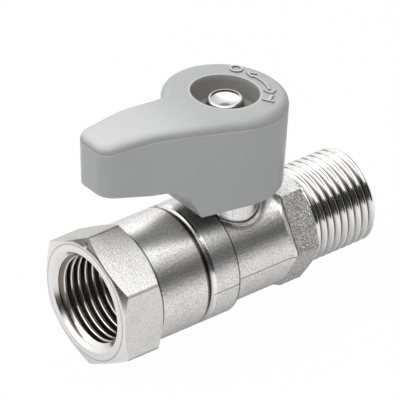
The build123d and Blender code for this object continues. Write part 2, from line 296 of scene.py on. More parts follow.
@dataclass(frozen=True)
class BlastedNickel(Finish):
    """Nickel plate over a shot-blasted forging: satin, pitted, with painted shade in its corners.

    Grains and depths are in metres, all else in millimetres.

    Attributes:
        pit_share: How far the pits darken the plate.
        far_shade: Painted shade: how far a face that leans up and away is darkened besides.
        edge_radius: Radius from which painted shade darkens the hexagon's corners.
        shaded_steps: Places along the bore with a line of painted shade round the piece, at its
            steps.
        lip: Start and end of the turned lip beside the groove.
        boss_shade_line: Radius of the line of painted shade round the boss.
        boss_shade_ring: Radius of the painted shadow outside the boss's fillet.
        boss_foot: Heights between which the marks round the boss come in.
    """

    label = "blasted_nickel"
    colour: Colour = (0.93, 0.92, 0.91)
    pit_colour: Colour = (0.38, 0.36, 0.34)
    # colour of the painted shade
    painted_shade_colour: Colour = (0.13, 0.09, 0.065)
    lip_colour: Colour = (0.97, 0.965, 0.955)
    roughness: float = 0.33
    grain: float = 0.00028
    grain_depth: float = 0.00005
    cloud_grain: float = 0.004
    pit_ratio: float = 1.9
    pit_share: float = 0.46
    far_shade: float = 0.0
    edge_radius: float = 15.42
    parting_height: float = -0.8
    parting_start: float = 21.7
    shaded_steps: tuple[float, ...] = (8.5, 20.25, 28.42, 29.02, 44.25)
    lip: Span = (21.3, 22.5)
    boss_shade_line: float = 7.24
    boss_shade_ring: float = 8.25
    boss_foot: Span = (6.5, 8.0)
    line_soft: Span = (0.15, 0.05)
    step_shade_soft: Span = (0.26, 0.12)
    ring_soft: Span = (0.5, 0.12)

    def surface(self, graph: Graph) -> Placed:
        """Satin metal with pits, soft blotches, painted shade and smooth turned places.

        Args:
            graph: The graph to build in.

        Returns:
            The shader node.
        """
        place = graph.place()
        fine = graph.noise(place, self.grain, 0.0)
        pits = graph.noise(place, self.grain * self.pit_ratio, 0.0)
        cloud = graph.noise(place, self.cloud_grain, 3.0)
        _, north, up = graph.facing()
        # painted shade on faces that lean up and away
        far = north.ramp(0.38, 0.46) * up.ramp(0.6, 0.8)
        specks = fine.ramp(0.42, 0.62) * 0.75 + pits.ramp(0.45, 0.7) * 0.25
        # pits and blotches, plus the painted shade of the faces that lean away
        pits_and_shade = specks * self.pit_share + cloud.ramp(0.4, 0.9) * 0.1 + far * self.far_shade
        turned = self.turned(graph)
        colour = graph.blend(pits_and_shade.clamped(), self.colour, self.pit_colour)
        colour = graph.blend(turned, colour, self.lip_colour)
        # painted shade on the parting line, the corners, the steps and round the boss
        colour = graph.blend(self.painted_shade_mask(graph), colour, self.painted_shade_colour)
        rough = (self.roughness + (fine - 0.5) * 0.1 + cloud * 0.05) * (1.0 - turned * 0.5)
        normal = graph.bump((fine * 0.75 + pits * 0.5) * (1.0 - turned), self.grain_depth)
        return graph.shader(METAL, colour, rough, normal)

    def painted_shade_mask(self, graph: Graph) -> Term:
        """Painted shade on the parting line, the hexagon's corners, the steps and round the boss.

        Args:
            graph: The graph to build in.

        Returns:
            How much painted shade the surface gets, from 0 to 1.
        """
        along, height = graph.along(0), graph.along(2)
        # painted shade along the parting line
        line = height.near(self.parting_height, self.line_soft)
        shade_mask = line * along.ramp(self.parting_start - 0.1, self.parting_start) * 0.9
        radius = graph.radius_about_bore()
        # painted shade on the hexagon's corners
        shade_mask = shade_mask + radius.ramp(self.edge_radius - 0.1, self.edge_radius + 0.1) * 0.55
        # painted shade in a line round the piece at each step
        for seam in self.shaded_steps:
            shade_mask = shade_mask + along.near(seam, self.step_shade_soft) * 0.85
        boss = graph.length(graph.offset_from_stem())
        above = height.ramp(*self.boss_foot)
        # painted shade at the boss's foot, and its painted shadow outside the fillet
        shade_mask = shade_mask + boss.near(self.boss_shade_line, self.line_soft) * above * 0.75
        shade_mask = shade_mask + boss.near(self.boss_shade_ring, self.ring_soft) * above * 0.5
        return shade_mask.clamped()

    def turned(self, graph: Graph) -> Term:
        """Turned places on the forging: the lip beside the groove and the boss's fillet.

        Args:
            graph: The graph to build in.

        Returns:
            1 where the surface is turned.
        """
        along = graph.along(0)
        start, end = self.lip
        lip = along.ramp(start - 0.1, start) * along.ramp(end, end - 0.2)
        boss = graph.length(graph.offset_from_stem())
        inner, outer = self.boss_shade_line + 0.05, self.boss_shade_ring - 0.2
        fillet = boss.ramp(inner, inner + 0.15) * boss.ramp(outer, outer - 0.2)
        above = graph.along(2).ramp(*self.boss_foot)
        return (lip + fillet * above * 0.8).clamped()


@dataclass(frozen=True)
class CoarseNickel(BlastedNickel):
    """The same plate where the blasting is coarser, on the male end's hexagon."""

    label = "coarse_nickel"
    roughness: float = 0.41
    grain: float = 0.00025
    grain_depth: float = 0.00021
    pit_share: float = 0.95
    shaded_steps: tuple[float, ...] = ()


@dataclass(frozen=True)
class FlatNickel(BlastedNickel):
    """The same plate on the female end's flats: matt, even, and with painted shade where they lean
    up and away.
    """

    label = "flat_nickel"
    roughness: float = 0.5
    grain: float = 0.00026
    grain_depth: float = 0.00009
    pit_share: float = 0.3
    # painted shade on the flats that lean up and away
    far_shade: float = 0.5
    shaded_steps: tuple[float, ...] = (8.5,)


@dataclass(frozen=True)
class TurnedNickel(Finish):
    """Nickel plate over turned brass: bright, with fine tool lines and painted shade in the
    groove.
    """

    label = "turned_nickel"
    colour: Colour = (0.88, 0.87, 0.855)
    worn_colour: Colour = (0.78, 0.765, 0.745)
    # colour of the painted shade
    painted_shade_colour: Colour = (0.13, 0.085, 0.055)
    roughness: float = 0.16
    line_pitch: float = 0.00011
    line_depth: float = 0.0000022
    groove_place: float = 20.9
    groove_soft: Span = (0.5, 0.3)
    face_place: float = -1.9
    face_radius: float = 12.84
    face_soft: Span = (0.22, 0.08)

    def surface(self, graph: Graph) -> Placed:
        """Bright metal with lines that run round the bore's axis.

        Args:
            graph: The graph to build in.

        Returns:
            The shader node.
        """
        place, along = graph.place(), graph.along(0)
        lines = graph.noise(graph.stretched(place, (1.0, 0.02, 0.02)), self.line_pitch)
        cloud = graph.noise(place, 0.003)
        # painted shade in the groove and on the front face's edge
        groove = along.near(self.groove_place, self.groove_soft)
        face_edge = graph.radius_about_bore().near(self.face_radius, self.face_soft)
        face_edge = face_edge * along.ramp(self.face_place + 0.2, self.face_place)
        shade_mask = (groove * 0.9 + face_edge * 0.45).clamped()
        colour = graph.blend(cloud * 0.5, self.colour, self.worn_colour)
        colour = graph.blend(shade_mask, colour, self.painted_shade_colour)
        rough = self.roughness + lines * 0.08 + cloud * 0.06
        return graph.shader(METAL, colour, rough, graph.bump(lines, self.line_depth))


@dataclass(frozen=True)
class ThreadNickel(Finish):
    """Plated thread: bright crests, with painted shade darkening the valleys brown.

    Attributes:
        male_depth: Radii between which painted shade darkens the male thread.
        female_depth: The same for the female thread.
        middle: Where the male end's half of the valve starts.
    """

    label = "thread_nickel"
    colour: Colour = (0.90, 0.89, 0.88)
    # colour of the painted shade in the valleys
    valley_shade_colour: Colour = (0.17, 0.125, 0.095)
    roughness: float = 0.10
    male_depth: Span = (10.0, 9.4)
    female_depth: Span = (9.4, 9.7)
    middle: Span = (30.0, 32.0)

    def surface(self, graph: Graph) -> Placed:
        """Bright metal whose colour darkens with painted shade towards the thread's valleys.

        Args:
            graph: The graph to build in.

        Returns:
            The shader node.
        """
        radius = graph.radius_about_bore()
        male_end = graph.along(0).ramp(*self.middle)
        male = radius.ramp(*self.male_depth) * male_end * 0.75
        female = radius.ramp(*self.female_depth) * (1.0 - male_end)
        # painted shade, deepest in the thread's valleys
        valley = (male + female * 0.92).clamped()
        haze = graph.noise(graph.place(), 0.0012)
        colour = graph.blend(valley, self.colour, self.valley_shade_colour)
        return graph.shader(METAL, colour, self.roughness + haze * 0.08 + valley * 0.1)


@dataclass(frozen=True)
class GreyMoulding(Finish):
    """Smooth grey moulded plastic, with the mould's parting line under its top edge, painted shade
    and painted highlights.

    Attributes:
        crown_place: Where the lever's crown starts, from the stem's axis.
        crown_height: Height of the top there.
        crown_slope: Fall of the top per millimetre towards the male end.
        crown_bend: How fast that slope changes along the lever.
        parting_drop: Depth of the parting line below the top.
        seam_angle: Angle of the upright seam about the stem, in degrees.
        outside_from: Squared radii between which the recess's outside starts.
        rim_at: Squared radius of its rim.
        recess_to: Squared radii between which it ends.
    """

    label = "grey_moulding"
    colour: Colour = (0.47, 0.478, 0.479)
    low_colour: Colour = (0.43, 0.44, 0.443)
    # colour of the painted shade, and of the real upright seam
    shade_and_seam_colour: Colour = (0.33, 0.325, 0.305)
    # colour of the painted highlights
    highlight_colour: Colour = (0.72, 0.72, 0.71)
    roughness: float = 0.34
    crown_place: float = -8.0
    crown_height: float = 38.163
    crown_slope: float = 0.09541
    crown_bend: float = 0.002334
    parting_drop: float = 2.15
    parting_soft: Span = (0.16, 0.06)
    seam_angle: float = -57.0
    outside_from: Span = (64.0, 70.0)
    rim_at: float = 57.0
    rim_soft: Span = (5.0, 2.0)
    recess_to: Span = (56.0, 54.0)
    mark_depth: float = 0.00005

    def surface(self, graph: Graph) -> Placed:
        """Plastic with a faint mottle, a very fine grain, the mould's marks, painted shade and
        painted highlights.

        Args:
            graph: The graph to build in.

        Returns:
            The shader node.
        """
        mottle = graph.noise(graph.place(), 0.005, 3.0)
        grain = graph.noise(graph.place(), 0.0003)
        across, side = graph.along(0) - STEM_X, graph.along(1)
        drop = self.drop(graph, across)
        from_stem = across * across + side * side
        outside = from_stem.ramp(*self.outside_from)
        below, over = self.parting_drop + 0.05, self.parting_drop - 0.05
        # painted shade on the rounded edge above the parting line
        edge = drop.ramp(0.9, 1.9) * drop.ramp(below, over) * outside
        # the real parting line, painted pale as a highlight
        line = drop.near(self.parting_drop, self.parting_soft) * outside
        # painted highlight on the recess's rim
        rim = from_stem.near(self.rim_at, self.rim_soft) * drop.ramp(0.6, 0.3)
        seam = self.seam(across, side) * drop.ramp(self.parting_drop, self.parting_drop + 0.3)
        # painted shade in the recess
        recess = from_stem.ramp(*self.recess_to) * drop.ramp(0.2, 1.4)
        # painted highlight on the top towards the tip
        tip = across.ramp(-8.0, -24.0) * drop.ramp(1.3, 0.5)
        # painted shade on the edge and in the recess, with the real seam
        dark = (edge * 0.55 + seam * 0.8 + recess * 0.9).clamped()
        # painted highlights
        pale = (line * 0.6 + rim * 0.35).clamped()
        colour = graph.blend(mottle, self.colour, self.low_colour)
        colour = graph.blend(tip * 0.45, colour, self.highlight_colour)
        colour = graph.blend(dark, colour, self.shade_and_seam_colour)
        colour = graph.blend(pale, colour, self.highlight_colour)
        rough = self.roughness + (mottle - 0.5) * 0.12 + (grain - 0.5) * 0.12
        normal = graph.bump(grain * 0.12 + line - seam, self.mark_depth)
        return graph.shader(MOULDED, colour, rough, normal)

    def drop(self, graph: Graph, across: Term) -> Term:
        """Depth below the lever's crowned top, in millimetres.

        Args:
            graph: The graph to build in.
            across: Distance past the stem along the bore.

        Returns:
            The depth.
        """
        ahead = across - self.crown_place
        bent = ahead.at_most(0.0)
        top = self.crown_height - ahead * self.crown_slope - bent * bent * self.crown_bend
        return top - graph.along(2)

    def seam(self, across: Term, side: Term) -> Term:
        """Upright seam on the hub's side.

        Args:
            across: Distance past the stem along the bore.
            side: Distance from the bore's axis to the side.

        Returns:
            1 on the seam.
        """
        angle = math.radians(self.seam_angle)
        off_seam = abs(side * math.cos(angle) - across * math.sin(angle))
        outwards = (across * math.cos(angle) + side * math.sin(angle)).ramp(7.5, 8.5)
        return off_seam.ramp(0.28, 0.1) * outwards


@dataclass(frozen=True)
class RaisedMoulding(Finish):
    """The lever's plastic on its raised marks: painted pale on top as a highlight, painted shade
    down the flanks.
    """

    label = "raised_moulding"
    # painted highlight: colour of the level tops
    colour: Colour = (0.60, 0.60, 0.595)
    flank_shade_colour: Colour = (0.20, 0.17, 0.145)
    roughness: float = 0.36

    def surface(self, graph: Graph) -> Placed:
        """Plastic painted pale where it lies level and dark down its flanks, as painted light and
        shade.

        Args:
            graph: The graph to build in.

        Returns:
            The shader node.
        """
        # painted light: level tops pale, flanks in painted shade
        level = graph.facing()[2].ramp(0.35, 0.85)
        mottle = graph.noise(graph.place(), 0.001)
        colour = graph.blend(level, self.flank_shade_colour, self.colour)
        return graph.shader(MOULDED, colour, self.roughness + mottle * 0.1)


@dataclass(frozen=True)
class BrightSteel(Finish):
    """Zinc-plated screw steel with marks round the stem's axis, and painted shade and reflections
    on its head.

    Attributes:
        flank_height: Height below which the head's flank is darkened by a painted reflection.
        dish_reflection_place: Place of the painted dark reflection in the head's dish, from the
            stem's axis.
        crescent_radius: Radius of the painted shade inside the head's rim.
        crescent_way: Direction in plan in which that painted shade lies.
        head_from: Heights between which the head starts above the washer.
    """

    label = "bright_steel"
    colour: Colour = (0.70, 0.70, 0.71)
    worn_colour: Colour = (0.56, 0.56, 0.57)
    # colour of the painted reflection in the dish
    dish_reflection_colour: Colour = (0.15, 0.165, 0.19)
    # colour of the painted shade and reflection on the head
    painted_shade_colour: Colour = (0.20, 0.14, 0.09)
    roughness: float = 0.2
    ring_depth: float = 0.000004
    flank_height: float = 35.75
    dish_reflection_place: Colour = (-1.1, -1.45, 0.0)
    crescent_radius: float = 3.12
    crescent_soft: Span = (0.2, 0.1)
    crescent_way: Span = (0.61, 0.79)
    head_from: Span = (34.0, 34.1)

    def surface(self, graph: Graph) -> Placed:
        """Bright metal with faint rings round the stem, and painted shade and reflections on the
        head.

        Args:
            graph: The graph to build in.

        Returns:
            The shader node.
        """
        flat, height = graph.offset_from_stem(), graph.along(2)
        radius = graph.length(flat)
        rings = {"W": radius * 9.0, "Scale": 1.0}
        wave = graph.add("ShaderNodeTexNoise", {"noise_dimensions": "1D"}, rings).out(0)
        haze = graph.noise(graph.place(), 0.0009)
        on_head = height.ramp(*self.head_from)
        # painted dark reflection in the head's dish
        spot = graph.length(graph.moved_back(flat, self.dish_reflection_place)).ramp(1.5, 0.7)
        east, north, _ = graph.parts(flat)
        behind = (east * self.crescent_way[0] + north * self.crescent_way[1]).ramp(0.9, 1.9)
        # painted shade inside the head's rim
        crescent = radius.near(self.crescent_radius, self.crescent_soft) * behind * on_head
        # painted dark reflection down the head's flank
        flank = height.ramp(self.flank_height, self.flank_height - 0.5) * radius.ramp(3.5, 3.6)
        colour = graph.blend(haze * 0.6, self.colour, self.worn_colour)
        colour = graph.blend(spot * on_head * 0.85, colour, self.dish_reflection_colour)
        colour = graph.blend((crescent * 0.9 + flank * 0.75).clamped(), colour, self.painted_shade_colour)
        rough = self.roughness + wave * 0.1 + haze * 0.08
        return graph.shader(METAL, colour, rough, graph.bump(wave, self.ring_depth))


@dataclass(frozen=True)
class PolishedBall(Finish):
    """Hard-chromed, polished ball."""

    label = "polished_ball"
    colour: Colour = (0.78, 0.785, 0.80)
    worn_colour: Colour = (0.68, 0.685, 0.70)

    def surface(self, graph: Graph) -> Placed:
        """Mirror-bright metal with faint wear.

        Args:
            graph: The graph to build in.

        Returns:
            The shader node.
        """
        wear = graph.noise(graph.place(), 0.0016, 4.0)
        colour = graph.blend(wear * 0.4, self.colour, self.worn_colour)
        return graph.shader(METAL, colour, 0.05 + wear.ramp(0.45, 0.75) * 0.09)


@dataclass(frozen=True)
class SeatPlastic(Finish):
    """White, slippery seat plastic with a faint cloud.

    Attributes:
        cloud_share: How much of the second colour the cloud brings.
        rough_share: How much rougher the surface gets in it.
        cloud_depth: Depth of the bump that goes with it, in metres.
    """

    label = "seat_plastic"
    colour: Colour = (0.82, 0.82, 0.79)
    cloud_colour: Colour = (0.74, 0.735, 0.70)
    cloud_grain: float = 0.002
    cloud_share: float = 0.6
    cloud_depth: float = 0.0
    roughness: float = 0.36
    rough_share: float = 0.12

    def surface(self, graph: Graph) -> Placed:
        """Soft stuff with one cloud in its colour, roughness and height.

        Args:
            graph: The graph to build in.

        Returns:
            The shader node.
        """
        cloud = graph.noise(graph.place(), self.cloud_grain, 3.0)
        colour = graph.blend(cloud * self.cloud_share, self.colour, self.cloud_colour)
        normal = graph.bump(cloud, self.cloud_depth) if self.cloud_depth else None
        return graph.shader(PLAIN, colour, self.roughness + cloud * self.rough_share, normal)


@dataclass(frozen=True)
class SealRubber(SeatPlastic):
    """Black seal rubber with a greasy shine and a fine bloom."""

    label = "seal_rubber"
    colour: Colour = (0.018, 0.018, 0.019)
    cloud_colour: Colour = (0.05, 0.05, 0.052)
    cloud_grain: float = 0.0007
    cloud_share: float = 0.5
    cloud_depth: float = 0.000008
    roughness: float = 0.4
    rough_share: float = 0.2


class Area(Enum):
    """Kind of surface on the plated pieces, by its place in the material slots."""

    BLASTED = 0
    TURNED = 1
    THREAD = 2
    COARSE = 3
    FLAT = 4


PLATED: dict[Area, Finish] = {
    Area.BLASTED: BlastedNickel(),
    Area.TURNED: TurnedNickel(),
    Area.THREAD: ThreadNickel(),
    Area.COARSE: CoarseNickel(),
    Area.FLAT: FlatNickel(),
}


def mesh_from(form: bmesh.types.BMesh, name: str) -> bpy.types.Mesh:
    """Turns a built form into a mesh and frees the form.

    Args:
        form: The form.
        name: Name of the mesh.

    Returns:
        The mesh.
    """
    mesh = bpy.data.meshes.new(name)
    form.to_mesh(mesh)
    form.free()
    return mesh


def mesh_object(name: str, mesh: bpy.types.Mesh) -> bpy.types.Object:
    """Puts a mesh in the scene.

    Args:
        name: Name of the object.
        mesh: Its mesh.

    Returns:
        The object.
    """
    piece = bpy.data.objects.new(name, mesh)
    bpy.context.scene.collection.objects.link(piece)
    return piece


def shade(mesh: bpy.types.Mesh, angle: float) -> None:
    """Smooth shading, with edges sharper than an angle in degrees kept crisp."""
    mesh.polygons.foreach_set("use_smooth", [True] * len(mesh.polygons))
    mesh.set_sharp_from_angle(angle=math.radians(angle))


@dataclass
class PipeThread:
    """Right-handed pipe thread about the bore's axis, in millimetres.

    Attributes:
        start: Where its first groove begins along the bore.
        end: Where its last groove ends.
        wall_radius: Radius of the cutter's plain wall.
        fade_start: Length over which the first grooves fade in.
        clear_radius: Radius of the cutter where they are faded.
        crest_round: Radius that the crests are rounded to.
        root_round: Radius that the valleys are rounded to.
        flank_angle: Half of the angle between two flanks, in degrees.
        depth_ratio: Depth of the rounded profile for a pitch of 1.
        weld: Distance below which points are joined.
    """

    start: float
    end: float
    wall_radius: float
    crest_radius: float
    root_radius: float
    fade_start: float = 0.0
    clear_radius: float = 0.0
    crest_round: float = 0.249
    root_round: float = 0.249
    pitch: float = 1.814
    flank_angle: float = 27.5
    depth_ratio: float = 0.6403
    columns: int = 96
    rows_per_pitch: int = 16
    weld: float = 1e-4

    def depth_share(self, phase: np.ndarray) -> np.ndarray:
        """Depth of the rounded 55 degree profile, 0 on a crest and 1 in a valley.

        Args:
            phase: Turns past a crest.

        Returns:
            The share of the full depth.
        """
        off = np.abs((phase + 0.5) % 1.0 - 0.5) * self.pitch
        full = self.depth_ratio * self.pitch
        half = self.pitch / 2.0
        tilt = math.radians(self.flank_angle)

        def arc(distance: np.ndarray, rounding: float) -> np.ndarray:
            """Depth of a rounded tip at a distance from its middle."""
            held = np.minimum(distance, rounding * math.cos(tilt))
            return rounding - np.sqrt(rounding**2 - held**2)

        reach = self.crest_round * math.cos(tilt)
        root_reach = self.root_round * math.cos(tilt)
        tip = float(arc(np.array([reach]), self.crest_round)[0])
        flank = tip + (off - reach) / math.tan(tilt)
        depth = np.where(off < reach, arc(off, self.crest_round), flank)
        depth = np.where(off > half - root_reach, full - arc(half - off, self.root_round), depth)
        return np.clip(depth / full, 0.0, 1.0)

    def radius(self, along: np.ndarray, turn: np.ndarray) -> np.ndarray:
        """Radius of the cutter's thread surface.

        Args:
            along: Places along the bore.
            turn: Angles about it in turns.

        Returns:
            Radii of the same shape.
        """
        share = self.depth_share(along / self.pitch - turn)
        fade = np.ones_like(along)
        if self.fade_start:
            fade = np.clip((along - self.start) / self.fade_start, 0.0, 1.0)
        cut = self.crest_radius + (self.root_radius - self.crest_radius) * share * fade
        return cut + (self.clear_radius - self.crest_radius) * (1.0 - fade)

    def cutter(self, name: str) -> bpy.types.Object:
        """Closed tube between the thread's surface and a plain wall.

        Args:
            name: Name of the temporary object.

        Returns:
            The cutter, in millimetres.
        """
        step = self.pitch / self.rows_per_pitch
        rows = int((self.end - self.start + self.pitch) / step) + 3
        turn = np.linspace(0.0, 1.0, self.columns + 1)
        lead = self.start - self.pitch + np.arange(rows)[:, None] * step
        along = np.clip(lead + self.pitch * turn[None, :], self.start, self.end)
        turns = np.broadcast_to(turn, along.shape)
        helix = self._points(along, turns, self.radius(along, turns))
        ends = np.stack([np.full_like(turn, self.start), np.full_like(turn, self.end)])
        end_turns = np.broadcast_to(turn, ends.shape)
        wall = self._points(ends, end_turns, np.full_like(ends, self.wall_radius))
        mouth = self._points(ends, end_turns, self.radius(ends, end_turns))
        form = bmesh.new()
        for grid in (helix, wall, np.stack([mouth[0], wall[0]]), np.stack([mouth[1], wall[1]])):
            self._add_grid(form, grid)
        bmesh.ops.remove_doubles(form, verts=form.verts, dist=self.weld)
        bmesh.ops.recalc_face_normals(form, faces=form.faces)
        return mesh_object(name, mesh_from(form, name))

    @staticmethod
    def _points(along: np.ndarray, turns: np.ndarray, radius: np.ndarray) -> np.ndarray:
        """Points from places along, turns about and radii from the bore's axis."""
        angle = turns * FULL_TURN
        return np.stack([along, radius * np.cos(angle), radius * np.sin(angle)], axis=-1)

    @staticmethod
    def _add_grid(form: bmesh.types.BMesh, grid: np.ndarray) -> None:
        """Adds a grid of points as quads.

        Args:
            form: The mesh being built.
            grid: Points by row and column.
        """
        made = [[form.verts.new(point) for point in row] for row in grid]
        for low, high in zip(made, made[1:]):
            for corners in zip(low, low[1:], high[1:], high):
                form.faces.new(corners)


@dataclass
class PlatedPiece:
    """A plated brass piece: the solid's shape with its pipe thread cut in.

    Attributes:
        node: The solid that the piece stands for.
        name: Name of the new piece.
        body: The body it rides on.
        thread: The thread to cut.
        crisp_angle: Edges sharper than this stay crisp, in degrees.
        level_angle: Faces that differ by less than this are one flat.
        bore_radius: Radius inside which the metal was bored.
        end_facing: Part of the normal along the bore that makes an end face.
    """

    node: str
    name: str
    body: str
    thread: PipeThread
    crisp_angle: float = 32.0
    weld: float = 2e-4
    level_angle: float = 0.1
    bore_radius: float = 10.6
    end_facing: float = 0.97

    def blank(self, source: bpy.types.Object) -> bpy.types.Object:
        """Copy of the solid in millimetres, welded and with its flats made whole.

        Args:
            source: The solid's object.

        Returns:
            The new object.
        """
        form = bmesh.new()
        form.from_mesh(source.data)
        bmesh.ops.scale(form, vec=(PER_METRE, PER_METRE, PER_METRE), verts=form.verts)
        bmesh.ops.remove_doubles(form, verts=form.verts, dist=self.weld)
        limit = math.radians(self.level_angle)
        bmesh.ops.dissolve_limit(form, angle_limit=limit, verts=form.verts, edges=form.edges)
        return mesh_object(self.name, mesh_from(form, self.name))

    def area_of(self, centre: Vector, normal: Vector) -> Area:
        """Kind of surface of a face, from its middle in millimetres and its normal."""
        raise NotImplementedError

    def build(self, nodes: dict[str, bpy.types.Object]) -> bpy.types.Object:
        """Cuts the thread, sorts the surfaces and dresses the piece.

        Args:
            nodes: The solids by name.

        Returns:
            The finished piece.
        """
        piece = self.blank(nodes[self.node])
        tool = self.thread.cutter(f"{self.name}_cutter")
        cut = piece.modifiers.new("thread", "BOOLEAN")
        cut.operation = "DIFFERENCE"
        cut.solver = "EXACT"
        cut.object = tool
        shown = piece.evaluated_get(bpy.context.evaluated_depsgraph_get())
        mesh = bpy.data.meshes.new_from_object(shown)
        piece.modifiers.clear()
        piece.data = mesh
        bpy.data.objects.remove(tool)
        mesh.materials.clear()
        for finish in PLATED.values():
            mesh.materials.append(finish.material())
        for face in mesh.polygons:
            face.material_index = self.area_of(face.center, face.normal).value
        for vertex in mesh.vertices:
            vertex.co *= MM
        carried = mesh.attributes.get("custom_normal")
        if carried is not None:
            mesh.attributes.remove(carried)
        shade(mesh, self.crisp_angle)
        even = piece.modifiers.new("even_flats", "WEIGHTED_NORMAL")
        even.keep_sharp = True
        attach(piece, self.body)
        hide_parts(self.node)
        return piece


@dataclass
class FemaleEnd(PlatedPiece):
    """End cap with the female thread."""

    chamfer_x: float = -0.85
    skirt_end_x: float = 20.38
    thread_end_x: float = 12.9
    mouth_radius: float = 11.2
    mouth_cone: float = 9.17
    cone_slack: float = 0.06
    hex_end_x: float = 8.2
    hex_radius: float = 12.8

    def area_of(self, centre: Vector, normal: Vector) -> Area:
        """Threaded bore, turned face and chamfers, blasted outside.

        Args:
            centre: Middle of the face in millimetres.
            normal: Its normal.

        Returns:
            The kind of surface.
        """
        radius = math.hypot(centre.y, centre.z)
        cone = normal.x < -0.5 and abs(radius + centre.x - self.mouth_cone) < self.cone_slack
        bored = radius < self.bore_radius and normal.x > -self.end_facing
        if bored and centre.x < self.thread_end_x and not cone:
            return Area.THREAD
        chamfer = centre.x < self.chamfer_x and normal.x < -0.15
        if cone or chamfer or radius < self.mouth_radius or centre.x > self.skirt_end_x:
            return Area.TURNED
        if abs(normal.x) < 0.02 and centre.x < self.hex_end_x and radius > self.hex_radius:
            return Area.FLAT
        return Area.BLASTED


@dataclass
class MaleBody(PlatedPiece):
    """Valve body with the male thread."""

    ring_start_x: float = 21.7
    hex_end_x: float = 50.55
    hex_start_x: float = 44.3
    hex_radius: float = 11.0
    root_radius: float = 9.0
    nose_radius: float = 11.0
    boss_radius: float = 7.05
    boss_foot_height: float = 8.0
    boss_turned_height: float = 12.6

    def area_of(self, centre: Vector, normal: Vector) -> Area:
        """Male thread, turned boss, faces and bores, blasted forging.

        Args:
            centre: Middle of the face in millimetres.
            normal: Its normal.

        Returns:
            The kind of surface.
        """
        radius = math.hypot(centre.y, centre.z)
        from_stem = math.hypot(centre.x - STEM_X, centre.y)
        if centre.x > self.hex_end_x:
            side = radius > self.root_radius and abs(normal.x) < self.end_facing
            return Area.THREAD if side else Area.TURNED
        nose = centre.x < self.ring_start_x and radius > self.nose_radius
        over_boss = from_stem < self.boss_radius
        bored = radius < self.bore_radius and not (over_boss and centre.z > self.boss_foot_height)
        if nose or bored or (over_boss and centre.z > self.boss_turned_height):
            return Area.TURNED
        if centre.x > self.hex_start_x and abs(normal.x) < 0.1 and radius > self.hex_radius:
            return Area.COARSE
        return Area.BLASTED


